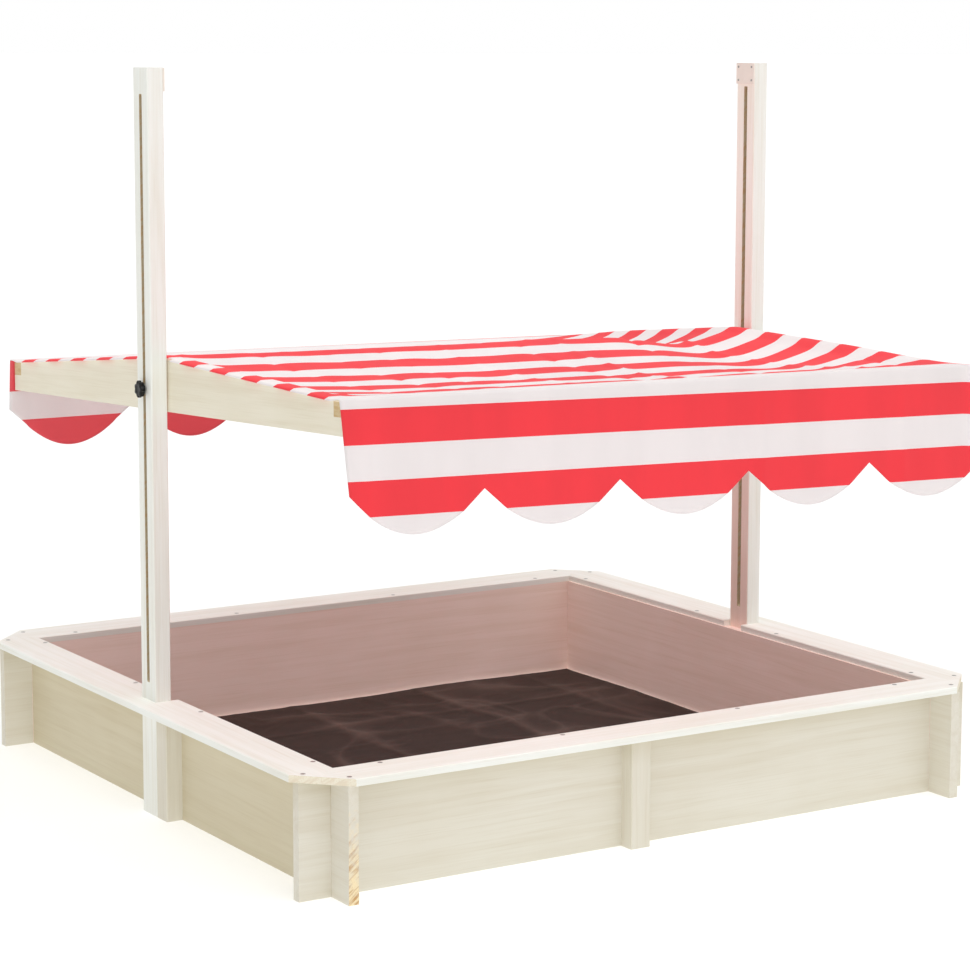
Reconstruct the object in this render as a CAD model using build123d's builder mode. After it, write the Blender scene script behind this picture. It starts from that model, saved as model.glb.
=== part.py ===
"""Sandbox with a striped sun roof that slides up and down two slotted posts.

Millimetres, +Z up, front towards -Y. The origin is on the ground under the middle of the box.
Four boards cross each other at the corners and carry four mitred seat rails. The roof frame
hangs on one bolt at each post, so it can be raised, lowered and tilted.
"""

import os
from math import cos, radians, sin

from build123d import *

os.makedirs("parts", exist_ok=True)

# Seat rails, mitred, with a cut corner
rail_half_x = 575
rail_half_y = 550
rail_width = 68
rail_thickness = 10
rail_corner_cut = 65
seat_height = 170

# Wall boards, halved into each other at the corners
board_thickness = 15
board_height = seat_height - rail_thickness
wall_inner_x = 504
wall_inner_y = 482
wing_length = 48
lap_play = 0.2
wall_outer_x = wall_inner_x + board_thickness
wall_outer_y = wall_inner_y + board_thickness

# Posts and the battens beside them
post_depth = 25
post_width = 46
post_height = 1078
slot_width = 8
slot_bottom = 196
slot_top = 1041
post_outer_x = wall_outer_x + post_depth
notch_play = 0.2
batten_width = 32
batten_offset = post_width / 2 + batten_width / 2 + 0.3
plate_height = 33
plate_thickness = 2
edge_break = 1.2

# Fasteners of the box
screw_radius = 1.75
screw_head_radius = 3.6
screw_length = 34
dowel_radius = 4
dowel_half_length = 10
nail_radius = 0.8
nail_head_radius = 1.7
nail_length = 14

# Ground sheet
sheet_gap = 2
sheet_thickness = 1.5

# Roof frame: its middle height, tilt (front up) and roll (right side low)
roof_height = 613.5
roof_tilt = 2.9
roof_roll = 1.0
arm_half_length = 532
arm_thickness = 18
arm_outer_x = 517.3
arm_below = 33
arm_above_ends = 11.5
arm_above_peak = 43.5
bar_depth = 25
bar_height = 20
arm_hole_radius = 3.1

# Bolts, washers and star knobs
bolt_radius = 3
bolt_head_radius = 6.5
bolt_head_height = 3.2
neck_side = 6
neck_length = 3.2
inner_washer_radius = 9
inner_washer_thickness = 1.2
outer_washer_radius = 8
outer_washer_thickness = 1.5
washer_bore_radius = 3.25
knob_start_x = 546
knob_radius = 11.5
knob_lobes = 7
knob_hub_radius = 7.5
knob_hub_height = 2
knob_height = 9
insert_radius = 4.2
insert_length = 6.5

# Roof cloth
cloth_thickness = 1.5
cloth_gap = 0.3
cloth_left = -524
scallop_pitch = 217
scallop_count = 5
scallop_depth = 53
back_scallop_depth = 63
shoulder_width = 30
shoulder_drop = 25
front_drop = 130.5
back_drop = 80
valance_flare = 3.5
slope_sags = (16, 25, 26)
crest_sags = (2, 3, 17)
flap_from = 45
flap_drop = 38
staple_crown = 10
staple_wire = 1
staple_leg = 7
staple_spacing = 95

head_height = screw_head_radius - screw_radius
arm_inner_x = arm_outer_x - arm_thickness
rail_inner_x = rail_half_x - rail_width
rail_inner_y = rail_half_y - rail_width
cloth_right = cloth_left + scallop_pitch * scallop_count


def write(piece, name):
    """Labels a finished piece and writes its STEP file."""
    piece.part.label = name
    export_step(piece.part, f"parts/{name}.step")


def inside_plane(side):
    """Plane on a wall's inner face at the ground: first axis along the wall, second up, normal inwards."""
    planes = {
        "front": Plane((0, -wall_inner_y, 0), x_dir=(-1, 0, 0), z_dir=(0, 1, 0)),
        "back": Plane((0, wall_inner_y, 0), x_dir=(1, 0, 0), z_dir=(0, -1, 0)),
        "left": Plane((-wall_inner_x, 0, 0), x_dir=(0, 1, 0), z_dir=(1, 0, 0)),
        "right": Plane((wall_inner_x, 0, 0), x_dir=(0, -1, 0), z_dir=(-1, 0, 0)),
    }
    return planes[side]


# Screws that hold the seat rails: into the walls' top edges and into their projecting ends
side_rail_screws = [(514, 108), (514, 440), (556, wall_outer_y - board_thickness / 2)]
end_rail_screws = [(150, 490), (440, 490), (wall_outer_x - board_thickness / 2, 534)]
rail_screw_points = [
    (sx * x, sy * y) for x, y in side_rail_screws + end_rail_screws for sx in (-1, 1) for sy in (-1, 1)
]
batten_dowel_heights = (40, 120)
post_dowel_heights = (32, 80, 128)

# Front and back boards are slotted from above and stand out past the side boards; the side
# boards are the same boards turned upside down, so their battens sit on the other hand.
for side in ("front", "back", "left", "right"):
    is_end = side in ("front", "back")
    crossing = (wall_outer_x if is_end else wall_outer_y) - board_thickness / 2
    half_length = crossing + board_thickness / 2 + wing_length
    lap_middle = board_height * (0.75 if is_end else 0.25)
    batten_u = batten_offset if is_end else -batten_offset
    inside = inside_plane(side)
    dowels = [(batten_u, height) for height in batten_dowel_heights]
    if not is_end:
        dowels += [(0, height) for height in post_dowel_heights]
    outside = inside.offset(-board_thickness)

    with BuildPart() as wall:
        with BuildSketch(inside):
            with Locations((0, board_height / 2)):
                Rectangle(2 * half_length, board_height)
            with Locations((-crossing, lap_middle), (crossing, lap_middle)):
                Rectangle(board_thickness + 2 * lap_play, board_height / 2, mode=Mode.SUBTRACT)
        extrude(amount=-board_thickness)
        with BuildSketch(outside):
            with Locations(*dowels):
                Circle(dowel_radius)
        extrude(amount=dowel_half_length, mode=Mode.SUBTRACT)
        with Locations(*[(x, y, board_height) for x, y in rail_screw_points]):
            Hole(screw_radius, depth=screw_length - rail_thickness)
    write(wall, f"{side}_wall")

    with BuildPart() as batten:
        with BuildSketch(outside):
            with Locations((batten_u, board_height / 2)):
                Rectangle(batten_width, board_height)
        extrude(amount=-post_depth)
        front = batten.faces().sort_by(Axis(inside.origin, inside.z_dir))[0]
        chamfer(front.edges().filter_by(Axis.Z), edge_break)
        with BuildSketch(outside):
            with Locations(*dowels[:2]):
                Circle(dowel_radius)
        extrude(amount=-dowel_half_length, mode=Mode.SUBTRACT)
    write(batten, f"{side}_batten")


# Seat rails lie on the boards; the side rails are notched round the posts.
corner_x = rail_half_x - rail_corner_cut
corner_y = rail_half_y - rail_corner_cut
mitre_x = rail_half_x - rail_corner_cut / 2
mitre_y = rail_half_y - rail_corner_cut / 2
screw_sites = [(x, y, seat_height) for x, y in rail_screw_points]

for name, sign in (("front", -1), ("back", 1)):
    with BuildPart() as rail:
        with BuildSketch(Plane.XY.offset(board_height)):
            with BuildLine():
                Polyline(
                    (-rail_inner_x, sign * rail_inner_y),
                    (-mitre_x, sign * mitre_y),
                    (-corner_x, sign * rail_half_y),
                    (corner_x, sign * rail_half_y),
                    (mitre_x, sign * mitre_y),
                    (rail_inner_x, sign * rail_inner_y),
                    close=True,
                )
            make_face()
        extrude(amount=rail_thickness)
        chamfer(rail.faces().sort_by(Axis.Z)[-1].edges().filter_by(Axis.X), edge_break)
        with Locations(*screw_sites):
            CounterSinkHole(screw_radius, screw_head_radius, depth=screw_length)
    write(rail, f"{name}_rail")

for name, sign in (("left", -1), ("right", 1)):
    with BuildPart() as rail:
        with BuildSketch(Plane.XY.offset(board_height)):
            with BuildLine():
                Polyline(
                    (sign * rail_inner_x, -rail_inner_y),
                    (sign * mitre_x, -mitre_y),
                    (sign * rail_half_x, -corner_y),
                    (sign * rail_half_x, corner_y),
                    (sign * mitre_x, mitre_y),
                    (sign * rail_inner_x, rail_inner_y),
                    close=True,
                )
            make_face()
            notch_depth = post_outer_x + notch_play - rail_inner_x
            with Locations((sign * (rail_inner_x + notch_depth / 2), 0)):
                Rectangle(notch_depth, post_width + 2 * notch_play, mode=Mode.SUBTRACT)
        extrude(amount=rail_thickness)
        long_edges = rail.faces().sort_by(Axis.Z)[-1].edges().filter_by(Axis.Y)
        chamfer(long_edges.filter_by(lambda edge: edge.length > post_width + 1), edge_break)
        with Locations(*screw_sites):
            CounterSinkHole(screw_radius, screw_head_radius, depth=screw_length)
    write(rail, f"{name}_rail")

with BuildPart() as rail_screws:
    with Locations(*[(x, y, seat_height - screw_length / 2) for x, y in rail_screw_points]):
        Cylinder(screw_radius, screw_length)
    with Locations(*[(x, y, seat_height - head_height / 2) for x, y in rail_screw_points]):
        Cone(screw_radius, screw_head_radius, head_height)
write(rail_screws, "rail_screws")


# Glued dowels between the walls and the battens and posts, so no head shows on either side
with BuildPart() as batten_dowels:
    for side in ("front", "back", "left", "right"):
        batten_u = batten_offset if side in ("front", "back") else -batten_offset
        with BuildSketch(inside_plane(side).offset(-board_thickness)):
            with Locations(*[(batten_u, height) for height in batten_dowel_heights]):
                Circle(dowel_radius)
        extrude(amount=dowel_half_length, both=True)
write(batten_dowels, "batten_dowels")

with BuildPart() as post_dowels:
    for side in ("left", "right"):
        with BuildSketch(inside_plane(side).offset(-board_thickness)):
            with Locations(*[(0, height) for height in post_dowel_heights]):
                Circle(dowel_radius)
        extrude(amount=dowel_half_length, both=True)
write(post_dowels, "post_dowels")


# Posts stand on the ground against the side boards' outer faces, with one long slot each.
nail_sites = [
    (u * (post_width / 2 - 6), post_height - plate_height / 2 + v * (plate_height / 2 - 6))
    for u in (-1, 1)
    for v in (-1, 1)
]

for name, sign in (("left", -1), ("right", 1)):
    face = Plane((sign * wall_outer_x, 0, 0), x_dir=(0, -sign, 0), z_dir=(-sign, 0, 0))

    with BuildPart() as post:
        with BuildSketch(face):
            with Locations((0, post_height / 2)):
                Rectangle(post_width, post_height)
            with Locations((0, (slot_bottom + slot_top) / 2)):
                SlotOverall(slot_top - slot_bottom, slot_width, rotation=90, mode=Mode.SUBTRACT)
        extrude(amount=-post_depth)
        corners = post.edges().filter_by(Axis.Z).filter_by(lambda edge: edge.length > post_height - 1)
        chamfer(corners, edge_break)
        with BuildSketch(face):
            with Locations(*[(0, height) for height in post_dowel_heights]):
                Circle(dowel_radius)
        extrude(amount=-dowel_half_length, mode=Mode.SUBTRACT)
        with Locations(face):
            with Locations(*nail_sites):
                Hole(nail_radius, depth=nail_length - plate_thickness)
    write(post, f"{name}_post")

    # A thin plate keeps the slotted head from splitting and stops the roof arm below it.
    with BuildPart() as plate:
        with BuildSketch(face):
            with Locations((0, post_height - plate_height / 2)):
                RectangleRounded(post_width, plate_height, edge_break)
            with Locations(*nail_sites):
                Circle(nail_radius, mode=Mode.SUBTRACT)
        extrude(amount=plate_thickness)
    write(plate, f"{name}_post_plate")

with BuildPart() as plate_nails:
    for sign in (-1, 1):
        face = Plane((sign * (wall_outer_x - plate_thickness), 0, 0), x_dir=(0, -sign, 0), z_dir=(-sign, 0, 0))
        with Locations(face):
            with Locations(*[(u, v, -nail_length / 2) for u, v in nail_sites]):
                Cylinder(nail_radius, nail_length)
            with Locations(*[(u, v, 0.3) for u, v in nail_sites]):
                Cylinder(nail_head_radius, 0.6)
write(plate_nails, "plate_nails")

with BuildPart() as ground_sheet:
    with BuildSketch():
        Rectangle(2 * (wall_inner_x - sheet_gap), 2 * (wall_inner_y - sheet_gap))
    extrude(amount=sheet_thickness)
write(ground_sheet, "ground_sheet")


# Roof frame. Its plane turns about the line through the two bolts.
bolt_line = Vector(1, 0, 0).rotate(Axis.Y, roof_roll)
roof = Plane(
    origin=(0, 0, roof_height),
    x_dir=bolt_line,
    z_dir=Vector(0, 0, 1).rotate(Axis.Y, roof_roll).rotate(Axis((0, 0, 0), bolt_line), -roof_tilt),
)


def across(x):
    """Plane square to the bolt line at x: first axis to the back, second up."""
    return Plane(roof.from_local_coords((x, 0, 0)), x_dir=roof.y_dir, z_dir=roof.x_dir)


def along(y):
    """Plane square to the roof arms at y: first axis to the right, second up."""
    return Plane(roof.from_local_coords((0, y, 0)), x_dir=roof.x_dir, z_dir=-roof.y_dir)


def arm_top(y):
    """Height of the arm's top edge above the bolt line: a straight slope each side of the peak."""
    return arm_above_peak - (arm_above_peak - arm_above_ends) * abs(y) / arm_half_length


rebate = arm_half_length - bar_depth
rebate_floor = arm_above_ends - bar_height
bar_screw_y = arm_half_length - bar_depth / 2

for name, sign in (("left", -1), ("right", 1)):
    with BuildPart() as arm:
        with BuildSketch(across(sign * arm_outer_x)):
            with BuildLine():
                Polyline(
                    (-arm_half_length, -arm_below),
                    (arm_half_length, -arm_below),
                    (arm_half_length, rebate_floor),
                    (rebate, rebate_floor),
                    (rebate, arm_top(rebate)),
                    (0, arm_above_peak),
                    (-rebate, arm_top(rebate)),
                    (-rebate, rebate_floor),
                    (-arm_half_length, rebate_floor),
                    close=True,
                )
            make_face()
            Circle(arm_hole_radius, mode=Mode.SUBTRACT)
        extrude(amount=-sign * arm_thickness)
        with BuildSketch(across(sign * arm_inner_x)):
            Rectangle(neck_side + 0.2, neck_side + 0.2)
        extrude(amount=sign * (neck_length + 0.1), mode=Mode.SUBTRACT)
        with Locations(roof):
            screw_x = sign * (arm_outer_x - arm_thickness / 2)
            with Locations(*[(screw_x, y, rebate_floor) for y in (-bar_screw_y, bar_screw_y)]):
                Hole(screw_radius, depth=screw_length - bar_height)
    write(arm, f"{name}_arm")

    # Bolt with a low round head and a square neck let into the arm
    with BuildPart() as bolt:
        with BuildSketch(across(sign * arm_inner_x)):
            Rectangle(neck_side, neck_side)
        extrude(amount=sign * neck_length)
        with BuildSketch(across(sign * arm_inner_x)):
            Circle(bolt_radius)
        extrude(amount=sign * (knob_start_x + insert_length - 0.5 - arm_inner_x))
        with BuildSketch(across(sign * arm_inner_x)):
            Circle(bolt_head_radius)
        extrude(amount=-sign * bolt_head_height)
        head = bolt.faces().sort_by(Axis(roof.origin, roof.x_dir))[-1 if sign < 0 else 0]
        fillet(head.edges(), bolt_head_height - 0.7)
    write(bolt, f"{name}_bolt")

    # Washers on both sides of the post
    inner_start = arm_outer_x + 0.15
    outer_start = knob_start_x - 0.15 - outer_washer_thickness
    washers = (
        ("inner", inner_start, inner_washer_radius, inner_washer_thickness),
        ("outer", outer_start, outer_washer_radius, outer_washer_thickness),
    )
    for place, start, radius, thickness in washers:
        with BuildPart() as washer:
            with BuildSketch(across(sign * start)):
                Circle(radius)
                Circle(washer_bore_radius, mode=Mode.SUBTRACT)
            extrude(amount=sign * thickness)
        write(washer, f"{name}_{place}_washer")

    # Star knob: a lobed head on a round hub, closed at its outer end, over a threaded insert
    with BuildPart() as knob:
        with BuildSketch(across(sign * (knob_start_x + knob_hub_height))):
            Circle(knob_radius)
            with PolarLocations(knob_radius + 1.6, knob_lobes):
                Circle(3.1, mode=Mode.SUBTRACT)
        extrude(amount=sign * (knob_height - knob_hub_height))
        ends = knob.faces().sort_by(Axis(roof.origin, roof.x_dir))
        chamfer((ends[0].edges() + ends[-1].edges()), 0.8)
        with BuildSketch(across(sign * knob_start_x)):
            Circle(knob_hub_radius)
        extrude(amount=sign * knob_hub_height)
        with BuildSketch(across(sign * knob_start_x)):
            Circle(insert_radius)
        extrude(amount=sign * insert_length, mode=Mode.SUBTRACT)
    write(knob, f"{name}_knob")

    with BuildPart() as insert:
        with BuildSketch(across(sign * knob_start_x)):
            Circle(insert_radius)
            Circle(bolt_radius + 0.06, mode=Mode.SUBTRACT)
        extrude(amount=sign * insert_length)
    write(insert, f"{name}_knob_insert")

for name, sign in (("front", -1), ("back", 1)):
    bar_sites = [(x * (arm_outer_x - arm_thickness / 2), sign * bar_screw_y) for x in (-1, 1)]
    with BuildPart() as bar:
        with BuildSketch(along(sign * arm_half_length)):
            with Locations((0, arm_above_ends - bar_height / 2)):
                Rectangle(2 * arm_outer_x, bar_height)
        extrude(amount=sign * bar_depth)
        with Locations(roof):
            with Locations(*[(x, y, arm_above_ends) for x, y in bar_sites]):
                CounterSinkHole(screw_radius, screw_head_radius)
    write(bar, f"{name}_bar")

with BuildPart() as bar_screws:
    with Locations(roof):
        sites = [
            (x * (arm_outer_x - arm_thickness / 2), y * bar_screw_y) for x in (-1, 1) for y in (-1, 1)
        ]
        with Locations(*[(x, y, arm_above_ends - screw_length / 2) for x, y in sites]):
            Cylinder(screw_radius, screw_length)
        with Locations(*[(x, y, arm_above_ends - head_height / 2) for x, y in sites]):
            Cone(screw_radius, screw_head_radius, head_height)
write(bar_screws, "bar_screws")


# Roof cloth. Each cross section is flat over the arms and hangs between them by the sags given at
# the left, in the middle and at the right. It is straight over the two bars.
overhang = cloth_right - arm_outer_x
front_half = (
    (-arm_half_length, (0, 0, 0)),
    (bar_depth - arm_half_length, (0, 0, 0)),
    (-arm_half_length / 2, slope_sags),
)
back_half = [(-y, sags) for y, sags in reversed(front_half)]

with BuildPart() as canopy_cloth:
    for y, (left, middle, right) in (*front_half, (0, crest_sags), *back_half):
        low = arm_top(y) + cloth_gap
        high = low + cloth_thickness
        hollow = [
            (-arm_inner_x, 0),
            (-0.8 * arm_inner_x, -left),
            (0, -middle),
            (0.75 * arm_inner_x, -right),
            (arm_inner_x, 0),
        ]
        with BuildSketch(along(y)):
            with BuildLine():
                Line((-arm_outer_x, low), (-arm_inner_x, low))
                Spline(*[(x, low + z) for x, z in hollow])
                Line((arm_inner_x, low), (arm_outer_x, low))
                Line((arm_outer_x, low), (arm_outer_x, high))
                Line((arm_outer_x, high), (arm_inner_x, high))
                Spline(*[(x, high + z) for x, z in reversed(hollow)])
                Line((-arm_inner_x, high), (-arm_outer_x, high))
                Line((-arm_outer_x, high), (-arm_outer_x, low))
            make_face()
    loft(ruled=True)
    # Past the right arm the cloth is wider than the frame and hangs, cut away round the post.
    for sign in (-1, 1):
        for y, reach, drop in ((arm_half_length, overhang, 3), (flap_from, overhang / 3, flap_drop)):
            high = arm_top(y) + cloth_gap + cloth_thickness
            with BuildSketch(along(sign * y)):
                with BuildLine():
                    Polyline(
                        (arm_outer_x, high),
                        (arm_outer_x + reach, high - drop),
                        (arm_outer_x + reach, high - drop - cloth_thickness),
                        (arm_outer_x, high - cloth_thickness),
                        close=True,
                    )
                make_face()
        loft(ruled=True)
write(canopy_cloth, "canopy_cloth")

for name, sign, drop, depth in (
    ("front", -1, front_drop, scallop_depth),
    ("back", 1, back_drop, back_scallop_depth),
):
    flare = radians(valance_flare + sign * roof_tilt)
    top = roof.from_local_coords(
        (0, sign * (arm_half_length + cloth_gap), arm_above_ends + cloth_gap + cloth_thickness)
    )
    upright = roof.z_dir * cos(flare) - roof.y_dir * (sign * sin(flare))
    hanging = Plane(top, x_dir=roof.x_dir, z_dir=roof.x_dir.cross(upright))
    with BuildPart() as valance:
        with BuildSketch(hanging):
            with BuildLine():
                Line((cloth_right, -drop), (cloth_right, 0))
                Line((cloth_right, 0), (cloth_left, 0))
                Line((cloth_left, 0), (cloth_left, -drop))
                for k in range(scallop_count):
                    start = cloth_left + k * scallop_pitch
                    end = start + scallop_pitch
                    low = -drop - shoulder_drop
                    Line((start, -drop), (start + shoulder_width, low))
                    ThreePointArc(
                        (start + shoulder_width, low),
                        ((start + end) / 2, -drop - depth),
                        (end - shoulder_width, low),
                    )
                    Line((end - shoulder_width, low), (end, -drop))
            make_face()
        extrude(amount=-sign * cloth_thickness)
    write(valance, f"{name}_valance")

# Staples through the cloth into the arms' and bars' top edges
with BuildPart() as canopy_staples:
    count_y = int(rebate // staple_spacing)
    for sign in (-1, 1):
        x = sign * (arm_outer_x - arm_thickness / 2)
        for step in range(-count_y, count_y + 1):
            y = step * staple_spacing + staple_spacing / 4
            crown = arm_top(y) + cloth_gap + cloth_thickness + staple_wire
            with Locations(roof):
                with Locations((x, y, crown - staple_wire / 2)):
                    Box(staple_wire, staple_crown, staple_wire)
                with Locations(
                    (x, y - (staple_crown - staple_wire) / 2, crown - staple_leg / 2),
                    (x, y + (staple_crown - staple_wire) / 2, crown - staple_leg / 2),
                ):
                    Box(staple_wire, staple_wire, staple_leg)
    for sign in (-1, 1):
        y = sign * bar_screw_y
        crown = arm_top(y) + cloth_gap + cloth_thickness + staple_wire
        for step in range(-4, 5):
            x = step * staple_spacing
            with Locations(roof):
                with Locations((x, y, crown - staple_wire / 2)):
                    Box(staple_crown, staple_wire, staple_wire)
                with Locations(
                    (x - (staple_crown - staple_wire) / 2, y, crown - staple_leg / 2),
                    (x + (staple_crown - staple_wire) / 2, y, crown - staple_leg / 2),
                ):
                    Box(staple_wire, staple_wire, staple_leg)
write(canopy_staples, "canopy_staples")
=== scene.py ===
"""Looks of the sandbox with a striped sun roof, made around its fixed CAD frame."""

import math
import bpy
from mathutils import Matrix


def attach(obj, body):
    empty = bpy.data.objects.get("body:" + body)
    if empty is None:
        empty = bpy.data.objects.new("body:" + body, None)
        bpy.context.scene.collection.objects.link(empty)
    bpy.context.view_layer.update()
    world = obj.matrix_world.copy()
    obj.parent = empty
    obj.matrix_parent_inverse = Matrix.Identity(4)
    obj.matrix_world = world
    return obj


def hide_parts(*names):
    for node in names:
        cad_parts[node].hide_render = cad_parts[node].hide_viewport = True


bl_info = {
    "name": "Sandbox with Sun Roof",
    "version": (1, 0, 0),
    "blender": (4, 5, 0),
    "location": "View3D > Sidebar > Sandbox",
    "description": "Painted fir, striped roof cloth, ground sheet and fittings of the sandbox",
    "category": "Object",
}

import bpy
import numpy as np
from bpy.props import FloatProperty, FloatVectorProperty, IntProperty, PointerProperty
from mathutils import Euler, Matrix, Vector

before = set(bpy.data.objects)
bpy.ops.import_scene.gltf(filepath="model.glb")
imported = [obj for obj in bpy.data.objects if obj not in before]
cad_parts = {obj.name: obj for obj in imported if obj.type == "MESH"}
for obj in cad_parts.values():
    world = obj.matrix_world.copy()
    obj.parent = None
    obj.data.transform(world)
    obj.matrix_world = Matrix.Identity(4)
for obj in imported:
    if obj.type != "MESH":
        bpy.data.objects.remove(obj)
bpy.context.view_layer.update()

# The roof frame's plane: the bolt line at half width, front up and right side low
ROOF_HEIGHT = 0.6135
ROOF_TILT = math.radians(-2.9)
ROOF_ROLL = math.radians(1.0)
BOLT_AXIS = Vector((math.cos(ROOF_ROLL), 0, -math.sin(ROOF_ROLL)))
ROOF_TURN = Matrix.Rotation(ROOF_TILT, 3, BOLT_AXIS) @ Matrix.Rotation(ROOF_ROLL, 3, "Y")

ARM_HALF_LENGTH = 0.532
ARM_OUTER = 0.5173
ARM_INNER = 0.4993
ARM_PEAK = 0.0435
ARM_END = 0.0115
BAR_DEPTH = 0.025
KNOB_START = 0.546

# Half the width of the notches that the cloth has round the posts
POST_NOTCH = 0.043
# The painted pink bounce light and shade of the inner faces lies inside these lines, metres from the middle
# of the box
INSIDE_X, INSIDE_Y = 0.5196, 0.4975
# The slots in the posts: half their width, and their middle and half their length in height
SLOT_REACH, SLOT_MIDDLE, SLOT_HALF_HEIGHT = 0.0043, 0.6185, 0.4226


def linear(code):
    """An sRGB hex colour as linear RGBA."""
    values = [int(code[i : i + 2], 16) / 255 for i in (1, 3, 5)]
    return (*(v / 12.92 if v <= 0.04045 else ((v + 0.055) / 1.055) ** 2.4 for v in values), 1)


# ---------------------------------------------------------------- settings


def colour(name, code, text):
    """A colour property whose default is an sRGB hex value."""
    return FloatVectorProperty(
        name=name, description=text, subtype="COLOR", size=4, min=0, max=1, default=linear(code)
    )


def length(name, metres, text):
    """A length property in metres."""
    return FloatProperty(name=name, description=text, default=metres, min=0, unit="LENGTH", precision=4)


def angle(name, degrees, text):
    """An angle property, shown in degrees."""
    return FloatProperty(name=name, description=text, default=math.radians(degrees), subtype="ANGLE")


class WoodSettings(bpy.types.PropertyGroup):
    paint: colour("Paint", "#F0F2ED", "Cream paint on the rails, posts and arms")
    wall_paint: colour("Wall paint", "#DEDACD", "The walls' thinner paint")
    # Painted shade: the side walls' paint is darker and yellower than the wall paint, partly for thin paint
    # over yellow fir and partly for the shade on the side walls.
    side_paint_and_shade: colour("Side paint", "#D3CAB0", "Paint of the side walls, thin over yellow fir")
    paint_streak: colour("Paint over grain", "#D8CBB0", "Where the late wood shows through the paint")
    # Painted light: the pink of the inner faces below the roof is the roof's red bounce light and shade,
    # painted into the coat.
    inner_painted_bounce: colour("Thin coat", "#FAE5DC", "The single thin coat on the inner faces")
    # The inner faces of the posts above the roof, out of the painted roof shade and bounce.
    upper_coat: colour("Upper coat", "#FBF8F0", "Inner faces of the posts above the roof")
    arm_paint: colour("Arm paint", "#E9E3D0", "Paint of the roof frame")
    raw: colour("Raw fir", "#F0DFB8", "Early wood on sawn faces")
    bar_wood: colour("Bar ends", "#D0BC93", "Sawn ends of the roof bars")
    # Painted shade, partly: the milled wood inside the slots is made darker and greyer for the shade in the
    # narrow slots.
    slot_wood_and_shade: colour("Slot", "#B9AE93", "Milled faces inside the slots")
    raw_ring: colour("Late wood", "#B98A4E", "Late wood on sawn faces")
    band_width: length("Growth band", 0.014, "Distance between growth bands on a board's face")
    line_width: length("Grain line", 0.0022, "Width of the fine grain lines")


class ClothSettings(bpy.types.PropertyGroup):
    red: colour("Red", "#F93A46", "Red stripes")
    white: colour("White", "#F3EEEE", "White stripes")
    back_red: colour("Red underneath", "#EE5F69", "Red stripes, paler on the unprinted side")
    stripe: length("Stripe", 0.0469, "Width of one stripe")
    askew: length("Askew", 0.0125, "How much further forward the cloth's right edge lies")
    thickness: length("Thickness", 0.001, "Thickness of the cloth")
    left_edge: FloatProperty(
        name="Left edge", description="Left edge of the cloth", default=-0.524, unit="LENGTH"
    )
    scallop: length("Scallop", 0.217, "Width of one scallop")
    scallops: IntProperty(name="Scallops", description="Scallops on each valance", default=5, min=1)
    front_drop: length("Front drop", 0.1325, "Height of the front valance at its notches")
    back_drop: length("Back drop", 0.080, "Height of the back valance at its notches")
    front_belly: length("Front belly", 0.0542, "Depth of a front scallop below its notches")
    back_belly: length("Back belly", 0.063, "Depth of a back scallop below its notches")
    flare: angle("Flare", 3.5, "Outward lean of the valances")
    sag: length("Sag", 0.022, "Sag of each slope, halfway between its ends")
    trough: length("Trough", 0.016, "Extra sag beside the right arm")
    crease: length("Crease", 0.0078, "Height of the creases left by folding the cloth up")


class SheetSettings(bpy.types.PropertyGroup):
    brown: colour("Brown", "#2C1C15", "Spunbond fleece")
    sheen: colour("Worn fibre", "#38251D", "Raised fibres on the wrinkles")
    # Painted highlight along the tops of the folds.
    fold_highlight: colour("Rubbed fold", "#6B5850", "Tops of the folds")
    width: length("Width", 1.000, "Size from left to right")
    depth: length("Depth", 0.956, "Size from front to back")
    wrinkle: length("Wrinkle", 0.0045, "Height of the wrinkles")
    fold: length("Fold", 0.004, "Height of the folds left by packing")
    thickness: length("Thickness", 0.0006, "Thickness of the sheet")


class FittingSettings(bpy.types.PropertyGroup):
    knob: colour("Knob", "#020202", "Black nylon of the star knobs")
    zinc: colour("Zinc", "#A9A8A4", "Zinc plating of screws, bolts and washers")
    brass: colour("Brass", "#C0A062", "Brass of the threaded inserts")
    plate: colour("Plate", "#EFE6DC", "Coated plates on the post heads")
    knob_radius: length("Knob radius", 0.0117, "Outer radius of the lobes")
    lobes: IntProperty(name="Lobes", description="Lobes of a star knob", default=7, min=3)


class StageSettings(bpy.types.PropertyGroup):
    floor: colour("Floor", "#FBFBFA", "Pale studio floor")
    camera: FloatVectorProperty(
        name="Camera",
        description="Place of the camera",
        subtype="TRANSLATION",
        default=(-2.3310, -3.7769, 1.1445),
    )
    heading: angle("Heading", 32.0, "Turn to the right of +Y")
    pitch: angle("Pitch", 7.956, "Angle below the horizon")
    roll: angle("Roll", 0.116, "Turn about the line of sight")
    focal: FloatProperty(
        name="Focal length", description="On a 36 mm wide sensor", default=108.82, unit="CAMERA"
    )


# ---------------------------------------------------------------- meshes


def grid_faces(rows, columns, close_rows=False):
    """Quads of a grid of rows x columns points, as an array; with close_rows each row is a closed ring."""
    last = columns if close_rows else columns - 1
    i, j = np.meshgrid(np.arange(rows - 1), np.arange(last), indexing="ij")
    k = (j + 1) % columns
    quads = np.stack([i * columns + j, i * columns + k, (i + 1) * columns + k, (i + 1) * columns + j], -1)
    return quads.reshape(-1, 4)


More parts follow.
